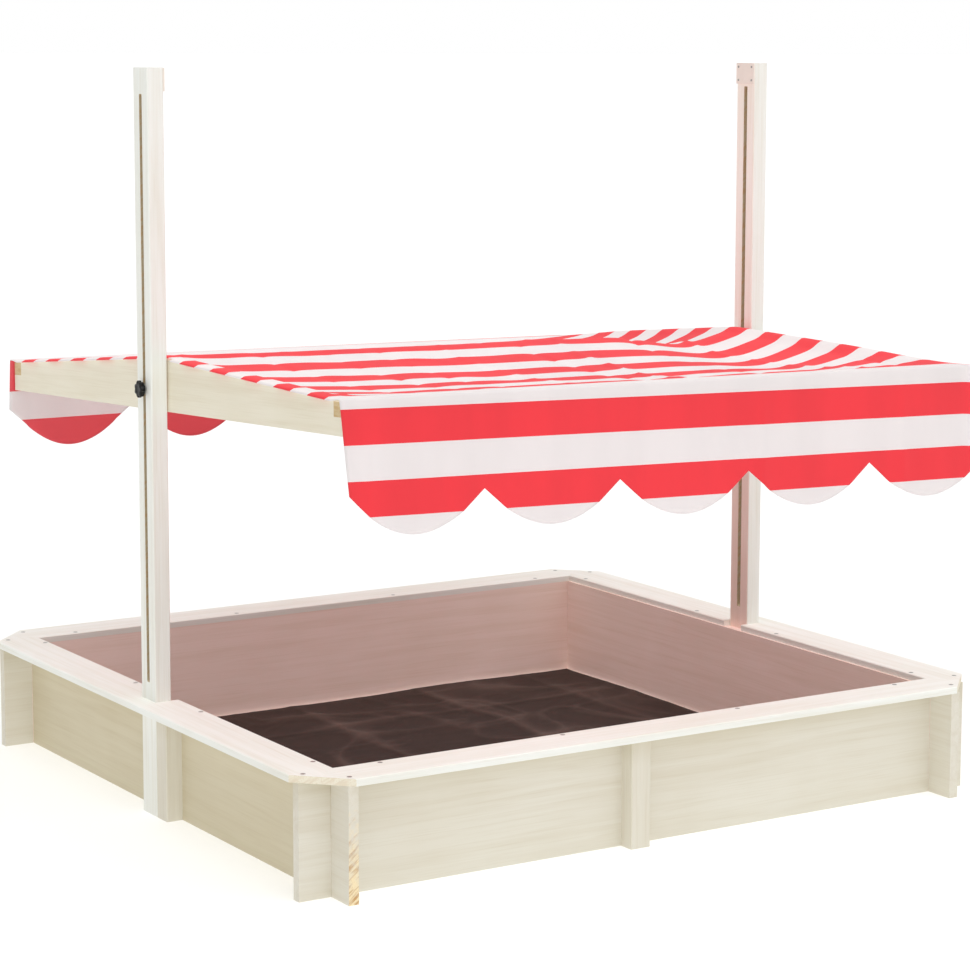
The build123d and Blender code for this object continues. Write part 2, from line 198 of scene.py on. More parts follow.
def mesh_piece(name, points, faces, body, smooth=True, uv=None):
    """A new piece from arrays of points and quads, riding on a CAD body.

    uv gives each point its place on the flat cloth.
    """
    used, faces = np.unique(faces, return_inverse=True)
    faces = faces.reshape(-1, 4)
    points = points.reshape(-1, 3)[used]
    mesh = bpy.data.meshes.new(name)
    mesh.from_pydata(points.tolist(), [], faces.tolist())
    if uv is not None:
        layer = mesh.uv_layers.new(name="flat_cloth")
        layer.data.foreach_set("uv", uv.reshape(-1, 2)[used][faces.ravel()].astype(np.float32).ravel())
    mesh.polygons.foreach_set("use_smooth", np.full(len(mesh.polygons), smooth))
    mesh.update()
    piece = bpy.data.objects.new(name, mesh)
    bpy.context.collection.objects.link(piece)
    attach(piece, body)
    return piece


def put_material(piece, material):
    """Gives all of a piece one material."""
    piece.data.materials.clear()
    piece.data.materials.append(material)


def to_roof(points):
    """Points of the roof frame's own plane, placed in the world."""
    turn = np.array(ROOF_TURN)
    return points @ turn.T + np.array((0, 0, ROOF_HEIGHT))


def smooth_step(low, high, x):
    """0 below low, 1 above high, and 3t^2 - 2t^3 between."""
    t = np.clip((x - low) / (high - low), 0, 1)
    return t * t * (3 - 2 * t)


def soft_noise(x, y, size, seed):
    """Smooth noise from -1 to 1: random values at the corners of square cells, eased between them."""
    table = np.random.default_rng(seed).uniform(-1, 1, (64, 64))
    u, v = x / size + 31.7, y / size + 31.7
    i, j = np.floor(u).astype(int), np.floor(v).astype(int)
    s, t = u - i, v - j
    s, t = s * s * (3 - 2 * s), t * t * (3 - 2 * t)
    near = table[i % 64, j % 64] * (1 - s) + table[(i + 1) % 64, j % 64] * s
    far = table[i % 64, (j + 1) % 64] * (1 - s) + table[(i + 1) % 64, (j + 1) % 64] * s
    return near * (1 - t) + far * t


# ---------------------------------------------------------------- materials


def add(tree, kind, inputs=None, **settings):
    """Adds a node. settings are its properties; inputs gives each socket a value or its source."""
    node = tree.nodes.new(kind)
    for name, value in settings.items():
        setattr(node, name, value)
    for key, value in (inputs or {}).items():
        if isinstance(value, bpy.types.NodeSocket):
            tree.links.new(value, node.inputs[key])
        else:
            node.inputs[key].default_value = value
    return node


def reckon(tree, operation, *values):
    """The socket of a maths node fed by sockets or numbers."""
    return add(tree, "ShaderNodeMath", dict(enumerate(values)), operation=operation).outputs[0]


def stretched(tree, value, low, high, most=1.0, least=0.0):
    """A value stretched so that low gives least and high gives most, and held between them."""
    inputs = {"Value": value, "From Min": low, "From Max": high, "To Min": least, "To Max": most}
    return add(tree, "ShaderNodeMapRange", inputs).outputs[0]


def noise(tree, place, scale, detail=2.0, **others):
    """Noise whose grains are about 1 / scale metres wide. others are further sockets of the node."""
    inputs = {"Vector": place, "Scale": scale, "Detail": detail}
    inputs.update({name.title(): value for name, value in others.items()})
    return add(tree, "ShaderNodeTexNoise", inputs).outputs[0]


def new_material(name):
    """An empty material and its node tree."""
    material = bpy.data.materials.new(name)
    material.use_nodes = True
    material.node_tree.nodes.clear()
    return material, material.node_tree


def finish_material(tree, shader):
    """Joins a shader to the output."""
    add(tree, "ShaderNodeOutputMaterial", {"Surface": shader.outputs[0]})


def blend_colours(tree, share, first, second):
    """The node socket of first mixed with second by share."""
    return add(tree, "ShaderNodeMix", {0: share, 6: first, 7: second}, data_type="RGBA").outputs[2]


def blend_numbers(tree, share, first, second):
    """The socket of first mixed with second by share, both numbers."""
    return add(tree, "ShaderNodeMix", {0: share, 2: first, 3: second}, data_type="FLOAT").outputs[0]


def along_grain(tree, straight, grain, width, stretch):
    """Places for a pattern `width` metres across the grain, its scale along it times `stretch`."""
    scale = tuple((stretch if axis == grain else 1.0) / width for axis in "xyz")
    return add(tree, "ShaderNodeMapping", {"Vector": straight, "Scale": scale}).outputs[0]


def inner_painted_bounce(tree, settings, place, spot, coat, side_wall_shade_and_bare_ends):
    """The coat again, but with painted pink bounce light and roof shade on the faces that look to the middle
    of the box.

    Those are where normal . place is below zero, and the faces that look up, both inside the
    lines of the walls and posts; above the roof the inner faces of the posts get the lighter upper coat.
    """
    facing = add(
        tree,
        "ShaderNodeVectorMath",
        {0: place.outputs["Normal"], 1: place.outputs["Object"]},
        operation="DOT_PRODUCT",
    )
    inward = reckon(tree, "LESS_THAN", facing.outputs["Value"], -0.3)
    upright = add(tree, "ShaderNodeSeparateXYZ", {0: place.outputs["Normal"]})
    upward = reckon(tree, "GREATER_THAN", upright.outputs[2], 0.5)
    inward = reckon(tree, "MAXIMUM", inward, upward)
    flat = add(tree, "ShaderNodeVectorMath", {0: place.outputs["Object"]}, operation="ABSOLUTE")
    flat = add(tree, "ShaderNodeSeparateXYZ", {0: flat.outputs[0]})
    inside_x = reckon(tree, "LESS_THAN", flat.outputs[0], INSIDE_X)
    inside_y = reckon(tree, "LESS_THAN", flat.outputs[1], INSIDE_Y)
    inside = reckon(tree, "MULTIPLY", inside_x, inside_y)
    # Painted bounce light and shade: inward and upward faces inside the walls get the pink inner colour,
    # changing to the lighter upper coat above the roof.
    thin = reckon(tree, "MULTIPLY", inward, inside)
    above = stretched(tree, spot.outputs[2], 0.60, 0.66)
    inner = blend_colours(tree, above, tuple(settings.inner_painted_bounce), tuple(settings.upper_coat))
    if side_wall_shade_and_bare_ends:
        # Painted shade on the side walls: between the corners they keep the darker side paint, while the
        # wings beyond the corners, which catch more light, get the lighter wall paint.
        coat = blend_colours(tree, inside_y, tuple(settings.wall_paint), coat)
    return blend_colours(tree, thin, coat, inner)


def sawn_faces(tree, place, spot, straight, raw_faces, side_wall_shade_and_bare_ends):
    """A socket that is 1 on the faces sawn square to raw_faces, and 0 elsewhere."""
    size = add(tree, "ShaderNodeVectorMath", {0: place.outputs["Normal"]}, operation="ABSOLUTE")
    along_cut = add(
        tree, "ShaderNodeVectorMath", {0: size.outputs[0], 1: raw_faces}, operation="DOT_PRODUCT"
    )
    cut_face = reckon(tree, "GREATER_THAN", along_cut.outputs["Value"], 0.93)
    if not side_wall_shade_and_bare_ends:
        return cut_face
    # Paint has run down the wall ends from the top, and thins out towards the ground.
    ragged = noise(tree, straight, 130.0, 3.0)
    level = reckon(tree, "MULTIPLY_ADD", ragged, 0.16, spot.outputs[2])
    bared = stretched(tree, level, 0.20, 0.10)
    left = reckon(tree, "LESS_THAN", spot.outputs[0], 0.0)
    bared = reckon(tree, "MULTIPLY", left, bared)
    return reckon(tree, "MULTIPLY", cut_face, bared)


def slot_walls(tree, spot):
    """A socket that is 1 inside a post's slot, and 0 elsewhere."""
    near = reckon(tree, "COMPARE", spot.outputs[1], 0.0, SLOT_REACH)
    tall = reckon(tree, "COMPARE", spot.outputs[2], SLOT_MIDDLE, SLOT_HALF_HEIGHT)
    return reckon(tree, "MULTIPLY", near, tall)


def bare_fir(tree, settings, straight, raw, ring_share):
    """The colour of sawn fir, and the pores that roughen it."""
    # Growth rings 4 mm apart that cross the sawn edge at 40 degrees, and pores of 1.4 mm
    slanted = add(tree, "ShaderNodeMapping", {"Vector": straight, "Rotation": (0, math.radians(40), 0)})
    cut = add(tree, "ShaderNodeMapping", {"Vector": slanted.outputs[0], "Scale": (36.0, 36.0, 250.0)})
    ring = noise(tree, cut.outputs[0], 1.0, 2.0)
    pore = noise(tree, straight, 700.0, 3.0)
    rings = stretched(tree, ring, 0.46, 0.62, ring_share)
    pores = stretched(tree, pore, 0.5, 0.75, 0.4)
    dark = reckon(tree, "MAXIMUM", rings, pores)
    return blend_colours(tree, dark, tuple(getattr(settings, raw)), tuple(settings.raw_ring)), pore


def painted_fir(
    name,
    settings,
    grain,
    paint="paint",
    raw="raw",
    raw_faces=None,
    ring_share=0.45,
    side_wall_shade_and_bare_ends=False,
    painted_rail_shadow=False,
    tilted=False,
    slot=False,
    inner_faces=False,
):
    """Planed fir under thin cream paint.

    The paint lies in the grain, so faint bands and fine lines run along each board, and the sheen
    is low and a little uneven. Sawn faces are bare: warm wood with growth rings and a rough touch.
    """
    material, tree = new_material(name)
    place = add(tree, "ShaderNodeTexCoord")
    turn = (ROOF_TILT, ROOF_ROLL, 0) if tilted else (0, 0, 0)
    straight = add(
        tree, "ShaderNodeMapping", {"Vector": place.outputs["Object"], "Rotation": tuple(-a for a in turn)}
    ).outputs[0]
    # Stretched along the grain: a band runs about 25 times as far as it is wide.
    bands = along_grain(tree, straight, grain, settings.band_width, 0.04)
    lines = along_grain(tree, straight, grain, settings.line_width, 0.02)
    band = noise(tree, bands, 1.0, 3.0, roughness=0.55, distortion=0.6)
    line = noise(tree, lines, 1.0, 2.0, roughness=0.6)
    cloud = noise(tree, straight, 7.0, 2.0)
    shown = stretched(tree, band, 0.42, 0.72, 0.2)
    fine = stretched(tree, line, 0.5, 0.75, 0.16)
    through = reckon(tree, "ADD", shown, fine)
    uneven = stretched(tree, cloud, 0.3, 0.7, 0.12)
    coat = tuple(getattr(settings, paint))
    spot = add(tree, "ShaderNodeSeparateXYZ", {0: place.outputs["Object"]})
    if painted_rail_shadow:
        # Painted shadow: the strip below the seat rails is darker and yellower, for the shadow that the
        # rails cast on the wall.
        dull = tuple(c * k for c, k in zip(coat[:3], (0.84, 0.81, 0.72))) + (1,)
        under = stretched(tree, spot.outputs[2], 0.118, 0.163, 0.8)
        coat = blend_colours(tree, under, coat, dull)
    if inner_faces:
        coat = inner_painted_bounce(tree, settings, place, spot, coat, side_wall_shade_and_bare_ends)
    streak = add(
        tree,
        "ShaderNodeMix",
        {0: 1.0, 6: coat, 7: tuple(settings.paint_streak)},
        data_type="RGBA",
        blend_type="MULTIPLY",
    ).outputs[2]
    shade = blend_colours(tree, through, coat, streak)
    shade = blend_colours(tree, uneven, shade, streak)
    height = line
    roughness = stretched(tree, cloud, 0, 1, 0.62, 0.48)
    bare_share = None
    if raw_faces is not None:
        bare_share = sawn_faces(tree, place, spot, straight, raw_faces, side_wall_shade_and_bare_ends)
    elif slot:
        bare_share = slot_walls(tree, spot)
    if bare_share is not None:
        bare, pore = bare_fir(tree, settings, straight, raw, ring_share)
        shade = blend_colours(tree, bare_share, shade, bare)
        height = blend_numbers(tree, bare_share, height, pore)
        roughness = blend_numbers(tree, bare_share, roughness, 0.85)
    bump = add(tree, "ShaderNodeBump", {"Height": height, "Strength": 0.25, "Distance": 0.0004})
    shader = add(
        tree,
        "ShaderNodeBsdfPrincipled",
        {"Base Color": shade, "Roughness": roughness, "Normal": bump.outputs[0], "IOR": 1.47},
    )
    finish_material(tree, shader)
    return material


def striped_cloth(settings):
    """Coated polyester awning cloth, printed in even stripes.

    The weave is finer than a millimetre and shows only as a dry, faintly rough surface; the thin
    coating gives a weak sheen, and light comes through in the stripes' own colours.
    """
    material, tree = new_material("coated_polyester_stripes")
    flat = add(tree, "ShaderNodeUVMap", uv_map="flat_cloth")
    split = add(tree, "ShaderNodeSeparateXYZ", {0: flat.outputs[0]})
    # The second UV axis is the distance along the cloth in stripe pairs, with red in the middle.
    wave = reckon(tree, "FRACT", split.outputs[1])
    side = reckon(tree, "COMPARE", wave, 0.5, 0.25)
    # Faint bands run from front to back, where the cloth lay folded in its packing.
    folded = add(tree, "ShaderNodeMapping", {"Vector": flat.outputs[0], "Scale": (1.0, 0.02, 1.0)})
    wear = noise(tree, folded.outputs[0], 11.0, 3.0)
    fade = stretched(tree, wear, 0.4, 0.62, 0.4)
    red = tuple(settings.red)
    deep = tuple(c * 0.86 for c in red[:3]) + (1,)
    white = tuple(settings.white)
    grey = tuple(c * 0.93 for c in white[:3]) + (1,)
    printed = blend_colours(tree, fade, red, deep)
    # The print is paler underneath: below the top, and on the valances' inner sides.
    place = add(tree, "ShaderNodeTexCoord")
    facing = add(tree, "ShaderNodeSeparateXYZ", {0: place.outputs["Normal"]})
    past = reckon(tree, "SUBTRACT", split.outputs[1], 0.5)
    end = reckon(tree, "SIGN", past)
    reach = reckon(tree, "ABSOLUTE", past)
    hanging = reckon(tree, "GREATER_THAN", reach, 5.75)
    outward = reckon(tree, "MULTIPLY", facing.outputs[1], end)
    up = add(
        tree,
        "ShaderNodeMix",
        {0: hanging, 2: facing.outputs[2], 3: outward},
        data_type="FLOAT",
    )
    under = reckon(tree, "LESS_THAN", up.outputs[0], 0.0)
    printed = blend_colours(tree, under, printed, tuple(settings.back_red))
    plain = blend_colours(tree, fade, white, grey)
    shade = blend_colours(tree, side, plain, printed)
    # Threads 0.9 mm apart, twice as coarse as the real cloth's so that they show
    weave = noise(tree, place.outputs["Object"], 1100.0, 1.0)
    cockle = noise(tree, place.outputs["Object"], 28.0, 3.0)
    fine = add(tree, "ShaderNodeBump", {"Height": weave, "Strength": 0.12, "Distance": 0.0003})
    bump = add(
        tree,
        "ShaderNodeBump",
        {"Height": cockle, "Strength": 0.2, "Distance": 0.004, "Normal": fine.outputs[0]},
    )
    front = add(
        tree,
        "ShaderNodeBsdfPrincipled",
        {
            "Base Color": shade,
            "Roughness": 0.62,
            "Sheen Weight": 0.12,
            "Sheen Roughness": 0.5,
            "Normal": bump.outputs[0],
        },
    )
    through = add(tree, "ShaderNodeBsdfTranslucent", {"Color": shade})
    shader = add(tree, "ShaderNodeMixShader", {0: 0.26, 1: front.outputs[0], 2: through.outputs[0]})
    finish_material(tree, shader)
    return material


def spunbond_fleece(settings):
    """Spunbond polypropylene ground sheet: dull dark brown, with painted highlights along the tops of the
    folds.
    """
    material, tree = new_material("spunbond_polypropylene")
    place = add(tree, "ShaderNodeTexCoord")
    fibre = noise(tree, place.outputs["Object"], 420.0, 4.0)
    patch = noise(tree, place.outputs["Object"], 16.0, 4.0)
    # Bonding points in rows 2.5 mm apart
    points = add(
        tree, "ShaderNodeTexVoronoi", {"Vector": place.outputs["Object"], "Scale": 400.0, "Randomness": 0.15}
    )
    light = stretched(tree, patch, 0.35, 0.75, 0.6)
    shade = blend_colours(tree, light, tuple(settings.brown), tuple(settings.sheen))
    # Painted highlight: the tops of the folds are paler.
    spot = add(tree, "ShaderNodeSeparateXYZ", {0: place.outputs["Object"]})
    top = stretched(tree, spot.outputs[2], 0.0045, 0.0105, 0.75)
    shade = blend_colours(tree, top, shade, tuple(settings.fold_highlight))
    dots = reckon(tree, "ADD", fibre, points.outputs["Distance"])
    bump = add(tree, "ShaderNodeBump", {"Height": dots, "Strength": 0.5, "Distance": 0.0005})
    shader = add(
        tree,
        "ShaderNodeBsdfPrincipled",
        {
            "Base Color": shade,
            "Roughness": 0.66,
            "Specular IOR Level": 0.2,
            "Sheen Weight": 0.03,
            "Normal": bump.outputs[0],
        },
    )
    finish_material(tree, shader)
    return material


def moulded_nylon(settings):
    """Glass-filled nylon knob: black, finely spark-eroded, with soft highlights."""
    material, tree = new_material("moulded_black_nylon")
    place = add(tree, "ShaderNodeTexCoord")
    # Mould texture of 0.3 mm
    grit = noise(tree, place.outputs["Object"], 3300.0, 2.0)
    patch = noise(tree, place.outputs["Object"], 160.0)
    roughness = stretched(tree, patch, 0, 1, 0.5, 0.3)
    bump = add(tree, "ShaderNodeBump", {"Height": grit, "Strength": 0.2, "Distance": 0.0001})
    shader = add(
        tree,
        "ShaderNodeBsdfPrincipled",
        {
            "Base Color": tuple(settings.knob),
            "Roughness": roughness,
            "Specular IOR Level": 0.3,
            "Normal": bump.outputs[0],
        },
    )
    finish_material(tree, shader)
    return material


def metal(name, shade, roughness, scratch):
    """Plated or turned metal with fine handling marks; scratch is their width in metres."""
    material, tree = new_material(name)
    place = add(tree, "ShaderNodeTexCoord")
    marks = noise(tree, place.outputs["Object"], 1 / scratch, 4.0)
    rough = stretched(tree, marks, 0, 1, roughness + 0.15, roughness - 0.1)
    bump = add(tree, "ShaderNodeBump", {"Height": marks, "Strength": 0.15, "Distance": 0.0001})
    shader = add(
        tree,
        "ShaderNodeBsdfPrincipled",
        {"Base Color": shade, "Metallic": 1.0, "Roughness": rough, "Normal": bump.outputs[0]},
    )
    finish_material(tree, shader)
    return material


def coated_plate(settings):
    """Powder-coated sheet steel: off-white with a fine orange-peel surface."""
    material, tree = new_material("powder_coated_plate")
    place = add(tree, "ShaderNodeTexCoord")
    # Orange peel of 1.2 mm
    peel = noise(tree, place.outputs["Object"], 830.0, 1.0)
    dust = noise(tree, place.outputs["Object"], 90.0, 3.0)
    share = stretched(tree, dust, 0.4, 1, 0.3)
    base = tuple(settings.plate)
    shade = blend_colours(tree, share, base, tuple(c * 0.8 for c in base[:3]) + (1,))
    bump = add(tree, "ShaderNodeBump", {"Height": peel, "Strength": 0.2, "Distance": 0.0002})
    shader = add(
        tree, "ShaderNodeBsdfPrincipled", {"Base Color": shade, "Roughness": 0.42, "Normal": bump.outputs[0]}
    )
    finish_material(tree, shader)
    return material


# ---------------------------------------------------------------- pieces


class SANDBOX_OT_boards(bpy.types.Operator):
    """Paint the walls, rails, battens, posts, arms and bars"""

    bl_idname = "sandbox.boards"
    bl_label = "Paint the boards"

    def execute(self, context):
        wood = context.scene.sandbox_wood
        diagonal = (math.sqrt(0.5), math.sqrt(0.5), 0)
        kinds = {
            "painted_fir_walls_x": dict(grain="x", paint="wall_paint", painted_rail_shadow=True, inner_faces=True),
            "painted_fir_walls_y": dict(
                grain="y",
                paint="side_paint_and_shade",
                raw_faces=(0, 1, 0),
                ring_share=0.85,
                side_wall_shade_and_bare_ends=True,
                painted_rail_shadow=True,
                inner_faces=True,
            ),
            "painted_fir_rails_x": dict(grain="x", raw="arm_paint", raw_faces=diagonal, ring_share=0.2),
            "painted_fir_rails_y": dict(grain="y", raw="arm_paint", raw_faces=diagonal, ring_share=0.2),
            "painted_fir_posts": dict(grain="z", raw="slot_wood_and_shade", slot=True, inner_faces=True),
            "painted_fir_battens": dict(grain="z", paint="wall_paint", painted_rail_shadow=True),
            "painted_fir_arms": dict(grain="y", paint="arm_paint", tilted=True),
            "painted_fir_bars": dict(
                grain="x", paint="arm_paint", raw="bar_wood", raw_faces=(1, 0, 0), tilted=True
            ),
        }
        boards = {
            "painted_fir_walls_x": ("front_wall", "back_wall"),
            "painted_fir_walls_y": ("left_wall", "right_wall"),
            "painted_fir_rails_x": ("front_rail", "back_rail"),
            "painted_fir_rails_y": ("left_rail", "right_rail"),
            "painted_fir_posts": ("left_post", "right_post"),
            "painted_fir_battens": ("front_batten", "back_batten", "left_batten", "right_batten"),
            "painted_fir_arms": ("left_arm", "right_arm"),
            "painted_fir_bars": ("front_bar", "back_bar"),
        }
        for name, nodes in boards.items():
            material = painted_fir(name, wood, **kinds[name])
            for node in nodes:
                put_material(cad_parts[node], material)
        return {"FINISHED"}


class SANDBOX_OT_roof_cloth(bpy.types.Operator):
    """Make the striped cloth over the roof frame, with both scalloped valances"""

    bl_idname = "sandbox.roof_cloth"
    bl_label = "Stretch the roof cloth"

    def execute(self, context):
        cloth = context.scene.sandbox_cloth
        pair = 2 * cloth.stripe
        per_scallop = 36
        across = np.linspace(
            cloth.left_edge,
            cloth.left_edge + cloth.scallop * cloth.scallops,
            per_scallop * cloth.scallops + 1,
        )
        share_across = (across - cloth.left_edge) / (cloth.scallop * cloth.scallops)
        # A red stripe's middle lies 3.2 mm in front of the crest at the left; the stripes run askew.
        offset = -0.0032 - cloth.askew * share_across
        creases = self.creases(cloth)

        # Top of the roof
        reach = ARM_HALF_LENGTH + cloth.thickness * 1.5
        top_rows = np.linspace(-reach, reach, 181)
        x, y = np.meshgrid(across, top_rows)
        top = self.top_surface(cloth, creases, x, y)
        slope = np.hypot(1, (ARM_PEAK - ARM_END) / ARM_HALF_LENGTH)
        top_uv = np.stack([x, (y * slope - offset) / pair + 0.5], -1)

        # Valances: each row is a share of the way down to the scalloped edge.
        parts, flats = [], []
        for sign, drop, belly, rows in (
            (-1, cloth.front_drop, cloth.front_belly, 30),
            (1, cloth.back_drop, cloth.back_belly, 22),
        ):
            share = np.linspace(0.004, 1, rows)[:, None]
            hang = self.scallop_line(cloth, across, belly)
            skewed = drop - sign * cloth.askew * 0.7 * (share_across - 0.4)
            down = share * (skewed + hang)[None, :]
            edge = top[0] if sign < 0 else top[-1]
            parts.append(self.valance(cloth, creases, across, edge, down, sign))
            # The roll round the bar's edge takes up 8 mm of cloth in front and 6 mm behind.
            rolled = (0.008 if sign < 0 else 0.006) * smooth_step(0, 0.012, down)
            along = (sign * (reach * slope + down - rolled) - offset) / pair + 0.5
            flats.append(np.stack([np.broadcast_to(across, down.shape), along], -1))
        points = np.concatenate([parts[0][::-1], top, parts[1]])
        flat = np.concatenate([flats[0][::-1], top_uv, flats[1]])

        faces = grid_faces(len(points), len(across))
        centre = points.reshape(-1, 3)[faces].mean(1)
        first = len(parts[0]) * len(across)
        on_top = (faces[:, 0] >= first) & (faces[:, 0] < first + (len(top) - 1) * len(across))
        at_post = np.abs(centre[:, 1]) < POST_NOTCH
        outside = (centre[:, 0] > ARM_OUTER - 0.0005) | (centre[:, 0] < -ARM_OUTER + 0.0005)
        beyond = (flat.reshape(-1, 2)[faces].mean(1)[:, 0] > ARM_OUTER + 0.001) & (centre[:, 0] > 0)
        faces = faces[~(on_top & at_post & (outside | beyond))]

        piece = mesh_piece("roof_cloth", to_roof(points.reshape(-1, 3)), faces, "roof", uv=flat)
        wall = piece.modifiers.new("thickness", "SOLIDIFY")
        wall.thickness = cloth.thickness
        wall.offset = -1
        put_material(piece, striped_cloth(cloth))
        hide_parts("canopy_cloth", "front_valance", "back_valance")
        hanging = self.scallop_line(cloth, across, cloth.front_belly).mean()
        hanging += self.scallop_line(cloth, across, cloth.back_belly).mean()
        # The scallops' spandrels and the notch round the right post are cut away.
        return {"FINISHED"}

    def scallop_line(self, cloth, across, belly):
        """Depth of the scalloped edge below its notches.

        Each scallop has straight shoulders 30 mm wide and 25 mm deep, and a round part between them.
        """
        shoulder_width, shoulder_depth = 0.030, 0.025
        u = (across - cloth.left_edge) % cloth.scallop
        u = np.minimum(u, cloth.scallop - u)
        half = cloth.scallop / 2 - shoulder_width
        round_part = np.clip((u - shoulder_width) / half, 0, 1)
        low = shoulder_depth + (belly - shoulder_depth) * np.sin(round_part * math.pi / 2) ** 0.85
        return np.where(u < shoulder_width, u / shoulder_width * shoulder_depth, low)

    def creases(self, cloth):
        """Places, leans and strengths of the front-to-back creases, about 110 mm apart."""
        random = np.random.default_rng(7)
        count = 10
        place = np.linspace(-0.495, 0.505, count) + random.uniform(-0.02, 0.02, count)
        lean = random.uniform(-0.10, 0.10, count)
        strength = random.uniform(0.35, 1.0, count) * np.where(random.random(count) < 0.25, -0.8, 1)
        return place, lean, strength

    def top_surface(self, cloth, creases, x, y):
        """The roof's top: slopes from a rounded crest, with sag and creases, and a flap at the right.

        Height = arm slope - sag(x) sag(y) - trough + creases + ripples. The flap turns down past the
        right arm, most beside the post.
        """
        far = np.abs(y)
        frame_top = np.where(
            far > ARM_HALF_LENGTH - BAR_DEPTH,
            ARM_END + 0.001,
            ARM_PEAK - (ARM_PEAK - ARM_END) * far / ARM_HALF_LENGTH,
        )
        # The crest is rounded as a hyperbola, 6 mm from its corner to where it is straight again.
        crest = (ARM_PEAK - ARM_END) / ARM_HALF_LENGTH * (np.hypot(far, 0.006) - far)
        height = frame_top - crest + 0.0032
        # Beside the left arm the cloth drops at once, and then eases off; beside the right arm the sag
        # grows as 1 - exp(-distance / 100 mm), and a trough runs along it.
        from_left = np.clip(x + ARM_INNER, 0, None)
        from_right = np.clip(ARM_INNER - x, 0, None)
        held = 1 - 0.45 * np.exp(-from_left / 0.012) - 0.55 * np.exp(-from_left / 0.120)
        held = held * (1 - np.exp(-from_right / 0.100))
        slope_sag = 0.003 + cloth.sag * np.sin(math.pi * np.clip(far / (ARM_HALF_LENGTH - BAR_DEPTH), 0, 1))
        trough = np.exp(-(((x - 0.40) / 0.10) ** 2)) * (1 - np.exp(-from_right / 0.03))
        ends = np.clip(1 - (far / ARM_HALF_LENGTH) ** 2, 0, 1) ** 2
        height = height - slope_sag * held * smooth_step(0, 0.02, ARM_HALF_LENGTH - BAR_DEPTH - far)
        height = height - cloth.trough * trough * ends
        free = smooth_step(0, 0.02, from_left) * smooth_step(0, 0.04, from_right)
        free = free * smooth_step(0, 0.06, ARM_HALF_LENGTH - BAR_DEPTH - far)
        place, lean, strength = creases
        wander = 0.012 * soft_noise(y, y * 0, 0.11, 3)
        for at, slant, power in zip(place, lean, strength):
            off = np.abs(x - at - slant * y - wander)
            fold = np.exp(-off / 0.009) - 0.35 * np.exp(-off / 0.035)
            patchy = 0.6 + 0.55 * soft_noise(x, y, 0.085, 11)
            height = height + cloth.crease * power * fold * free * patchy
        height = height + free * (
            0.0012 * soft_noise(x, y, 0.12, 21) + 0.0007 * soft_noise(x + 0.3 * y, y * 2.2, 0.045, 22)
        )
        # The hem stands proud on the right arm, most at the crest.
        hem = np.exp(-(((x - 0.505) / 0.014) ** 2))
        height = height + 0.005 * hem * smooth_step(0, 0.25, ARM_HALF_LENGTH - far)

        # Past the right arm the cloth turns down by the angle turn(y), round a bend of 4 mm.
        over = np.clip(x - ARM_OUTER, 0, None)
        near_post = smooth_step(0, 0.34, ARM_HALF_LENGTH - far)
        turn = math.radians(4) + math.radians(66) * near_post
        bend = 0.004
        eased = np.sqrt(over**2 + bend**2) - bend
        out_x = np.where(over > 0, ARM_OUTER + over - eased * (1 - np.cos(turn)), x)
        height = height - eased * np.sin(turn)
        left_over = np.clip(-ARM_OUTER - x, 0, None)
        height = height - left_over * 0.5 * smooth_step(0, 0.03, ARM_HALF_LENGTH - far)
        return np.stack([out_x, y, height], -1)

    def valance(self, cloth, creases, across, edge, down, sign):
        """A valance: it rolls over the bar with a 3 mm radius, leans outwards, and ripples more
        towards its free edge."""
        lean = cloth.flare + sign * -ROOF_TILT
        bend = 0.003
        eased = np.sqrt(down**2 + bend**2) - bend
        ripple = np.zeros_like(down)
        place, _, strength = creases
        for at, power in zip(place, strength):
            ripple = ripple + 0.0040 * power * np.exp(-np.abs(across - at)[None, :] / 0.013)
        ripple = ripple + 0.0030 * soft_noise(across, across * 0, 0.14, 5)[None, :]
        ripple = ripple + 0.0010 * soft_noise(across, across * 0, 0.05, 6)[None, :]
        free = smooth_step(0.01, 0.09, down)
        roll = bend * (1 - np.exp(-down / bend)) * 0.3
        out = roll + eased * math.sin(lean) + np.maximum(ripple, -0.001) * free
        points = np.empty((*down.shape, 3))
        # The front's left edge curls in towards its free corner.
        curl = 0.013 * np.exp(-(across - cloth.left_edge) / 0.05)[None, :] * down / cloth.front_drop
        points[..., 0] = edge[:, 0] + (curl if sign < 0 else 0)
        points[..., 1] = edge[:, 1] + sign * out
        points[..., 2] = edge[:, 2] - eased * math.cos(lean)
        return points


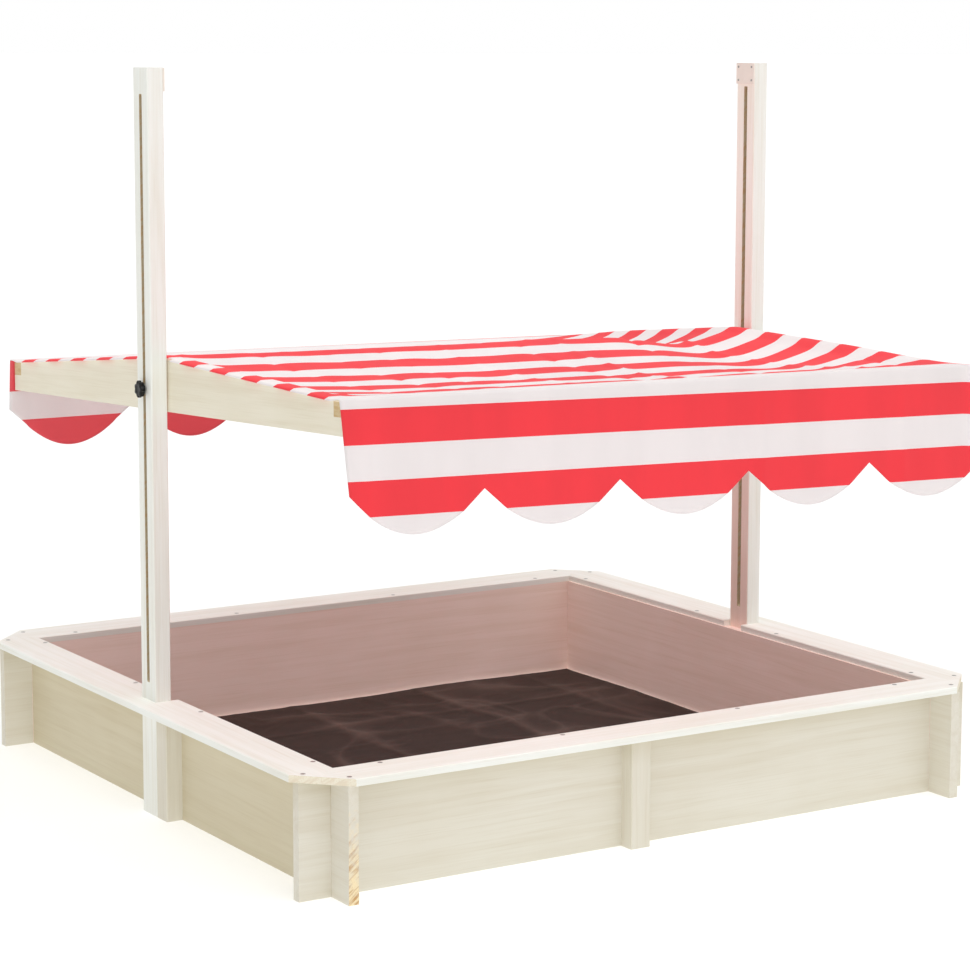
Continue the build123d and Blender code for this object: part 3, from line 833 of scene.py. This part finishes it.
class SANDBOX_OT_ground_sheet(bpy.types.Operator):
    """Lay the wrinkled ground sheet inside the walls"""

    bl_idname = "sandbox.ground_sheet"
    bl_label = "Lay the ground sheet"

    def execute(self, context):
        sheet = context.scene.sandbox_sheet
        x, y = np.meshgrid(
            np.linspace(-sheet.width / 2, sheet.width / 2, 168),
            np.linspace(-sheet.depth / 2, sheet.depth / 2, 160),
        )
        # Height = ridges where a warped noise changes sign, on a gentle swell, lying flat at the edges.
        warp = 0.05 * soft_noise(x, y, 0.16, 41)
        ridge = 0
        for size, power, seed in ((0.13, 1.0, 42), (0.075, 0.6, 43), (0.042, 0.3, 44)):
            crossing = soft_noise(x + warp, y - warp, size, seed)
            ridge = ridge + power * np.exp(-np.abs(crossing) / 0.16)
        edge = np.minimum(sheet.width / 2 - np.abs(x), sheet.depth / 2 - np.abs(y))
        rise = 0.25 + 0.75 * smooth_step(0, 0.06, edge)
        # Packing folds: straight lines from front to back and from side to side, one face of each steeper.
        bend = 0.010 * soft_noise(x, y, 0.15, 46)
        folds = 0
        for at, power in ((-0.31, 1.0), (-0.06, 0.8), (0.19, 1.0), (0.40, 0.6)):
            off = x - at + bend
            folds = folds + power * np.exp(-np.abs(off) / np.where(off < 0, 0.006, 0.022))
        for at, power in ((-0.27, 0.5), (0.02, 0.9), (0.30, 0.6)):
            off = y - at + bend
            folds = folds + power * np.exp(-np.abs(off) / np.where(off < 0, 0.005, 0.020))
        height = 0.0012 + sheet.wrinkle * 0.62 * ridge * rise + 0.002 * (1 + soft_noise(x, y, 0.2, 45))
        height = height + sheet.fold * folds * rise
        points = np.stack([x, y, height], -1)
        piece = mesh_piece("wrinkled_ground_sheet", points, grid_faces(*x.shape), "box")
        wall = piece.modifiers.new("thickness", "SOLIDIFY")
        wall.thickness = sheet.thickness
        wall.offset = -1
        put_material(piece, spunbond_fleece(sheet))
        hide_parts("ground_sheet")
        return {"FINISHED"}


class SANDBOX_OT_fittings(bpy.types.Operator):
    """Finish the knobs, bolts, screws and plates"""

    bl_idname = "sandbox.fittings"
    bl_label = "Finish the fittings"

    def execute(self, context):
        fitting = context.scene.sandbox_fittings
        nylon = moulded_nylon(fitting)
        for side, sign in (("left", -1), ("right", 1)):
            piece = self.star_knob(f"{side}_star_knob", fitting, sign, f"knob_{side}")
            put_material(piece, nylon)
            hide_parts(f"{side}_knob")
        zinc = metal("zinc_plated_steel", tuple(fitting.zinc), 0.38, 0.0012)
        brass = metal("turned_brass", tuple(fitting.brass), 0.3, 0.0008)
        plate = coated_plate(fitting)
        beech = painted_fir("raw_dowel", context.scene.sandbox_wood, grain="z", paint="raw")
        for name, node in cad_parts.items():
            if name.endswith(("_screws", "_nails", "_staples", "_bolt", "_washer")):
                put_material(node, zinc)
            elif name.endswith("_dowels"):
                put_material(node, beech)
            elif name.endswith("_insert"):
                put_material(node, brass)
            elif name.endswith("_plate"):
                put_material(node, plate)
        return {"FINISHED"}

    def star_knob(self, name, fitting, sign, body):
        """A lobed knob: a profile turned about the bolt line, lobed by cos(7 angle) at the head.

        The profile is in millimetres, radius and height, from the hub's bore over the head to its
        dished middle.
        """
        profile = np.array(
            [
                (4.25, 0.0),
                (7.2, 0.0),
                (7.5, 0.3),
                (7.5, 1.7),
                (7.8, 2.0),
                (10.7, 2.2),
                (11.5, 2.7),
                (11.7, 3.4),
                (11.7, 6.6),
                (11.4, 7.7),
                (10.5, 8.5),
                (9.1, 8.9),
                (6.0, 9.0),
                (5.2, 8.7),
                (4.6, 8.5),
                (0.0, 8.6),
            ]
        )
        radius, height = profile[:, 0] / 1000, profile[:, 1] / 1000
        angle = np.linspace(0, 2 * math.pi, 168, endpoint=False)
        head = smooth_step(0.0078, 0.0110, radius) * (height > 0.0018)
        lobe = 1 + head[:, None] * 0.105 * (np.cos(fitting.lobes * angle)[None, :] - 0.25)
        r = radius[:, None] * lobe * fitting.knob_radius / radius.max()
        points = np.stack(
            [
                np.broadcast_to(sign * (KNOB_START + height[:, None]), r.shape),
                sign * r * np.cos(angle)[None, :],
                r * np.sin(angle)[None, :],
            ],
            -1,
        )
        bore = points[:1] + np.array((sign * 0.0065, 0, 0))
        points = np.concatenate([bore, points])
        faces = grid_faces(len(points), len(angle), close_rows=True)
        piece = mesh_piece(name, to_roof(points.reshape(-1, 3)), faces, body)
        return piece


class SANDBOX_OT_stage(bpy.types.Operator):
    """Set the pale floor, the soft studio lights and the camera"""

    bl_idname = "sandbox.stage"
    bl_label = "Set the stage"

    def execute(self, context):
        stage = context.scene.sandbox_stage
        scene = context.scene
        scene.view_settings.view_transform = "Standard"

        size = 200.0
        mesh = bpy.data.meshes.new("floor")
        corners = [(-size, -size, 0), (size, -size, 0), (size, size, 0), (-size, size, 0)]
        mesh.from_pydata(corners, [], [(0, 1, 2, 3)])
        floor = bpy.data.objects.new("floor", mesh)
        context.collection.objects.link(floor)
        material, tree = new_material("matt_floor")
        shader = add(tree, "ShaderNodeBsdfPrincipled", {"Base Color": tuple(stage.floor), "Roughness": 0.9})
        finish_material(tree, shader)
        put_material(floor, material)

        world = bpy.data.worlds.new("studio")
        world.use_nodes = True
        tree = world.node_tree
        tree.nodes.clear()
        sight = add(tree, "ShaderNodeLightPath")
        strength = add(
            tree, "ShaderNodeMix", {0: sight.outputs["Is Camera Ray"], 2: 0.53, 3: 1.0}, data_type="FLOAT"
        )
        back = add(tree, "ShaderNodeBackground", {"Strength": strength.outputs[0]})
        back.inputs["Color"].default_value = (1, 1, 1, 1)
        add(tree, "ShaderNodeOutputWorld", {"Surface": back.outputs[0]})
        scene.world = world
        lights = (
            # name, direction to the light, strength, angle in degrees, casts a shadow
            ("key", (0.15, -0.52, 0.84), 0.7, 80, True),
            ("top", (0.0, 0.0, 1.0), 1.3, 40, False),
            ("front", (-0.60, -0.78, 0.15), 0.46, 40, False),
        )
        for name, direction, strength, angle, shadow in lights:
            data = bpy.data.lights.new(name, "SUN")
            data.energy = strength
            data.angle = math.radians(angle)
            data.use_shadow = shadow
            lamp = bpy.data.objects.new(name, data)
            lamp.rotation_euler = Vector(direction).to_track_quat("Z", "Y").to_euler()
            context.collection.objects.link(lamp)

        data = bpy.data.cameras.new("camera")
        data.sensor_fit = "HORIZONTAL"
        data.sensor_width = 36
        data.lens = stage.focal
        data.shift_y = -0.057
        data.clip_end = 100
        camera = bpy.data.objects.new("camera", data)
        context.collection.objects.link(camera)
        camera.location = stage.camera
        look = Euler((math.pi / 2 - stage.pitch, 0, -stage.heading), "XYZ").to_matrix()
        camera.rotation_euler = (look @ Matrix.Rotation(stage.roll, 3, "Z")).to_euler()
        scene.camera = camera
        return {"FINISHED"}


class SANDBOX_PT_panel(bpy.types.Panel):
    """Sizes, colours and steps of the sandbox"""

    bl_label = "Sandbox"
    bl_idname = "SANDBOX_PT_panel"
    bl_space_type = "VIEW_3D"
    bl_region_type = "UI"
    bl_category = "Sandbox"

    def draw(self, context):
        for operator, group in STEPS:
            box = self.layout.box()
            box.operator(operator.bl_idname)
            settings = getattr(context.scene, group)
            for name in settings.__annotations__:
                box.prop(settings, name)


GROUPS = {
    "sandbox_wood": WoodSettings,
    "sandbox_cloth": ClothSettings,
    "sandbox_sheet": SheetSettings,
    "sandbox_fittings": FittingSettings,
    "sandbox_stage": StageSettings,
}
STEPS = (
    (SANDBOX_OT_boards, "sandbox_wood"),
    (SANDBOX_OT_fittings, "sandbox_fittings"),
    (SANDBOX_OT_ground_sheet, "sandbox_sheet"),
    (SANDBOX_OT_roof_cloth, "sandbox_cloth"),
    (SANDBOX_OT_stage, "sandbox_stage"),
)
CLASSES = (*GROUPS.values(), *(step for step, _ in STEPS), SANDBOX_PT_panel)


def register():
    for cls in CLASSES:
        bpy.utils.register_class(cls)
    for name, group in GROUPS.items():
        setattr(bpy.types.Scene, name, PointerProperty(type=group))


def unregister():
    for name in GROUPS:
        delattr(bpy.types.Scene, name)
    for cls in reversed(CLASSES):
        bpy.utils.unregister_class(cls)


def main():
    register()
    for operator, _ in STEPS:
        getattr(bpy.ops.sandbox, operator.bl_idname.split(".")[1])()


if __name__ == "__main__":
    main()
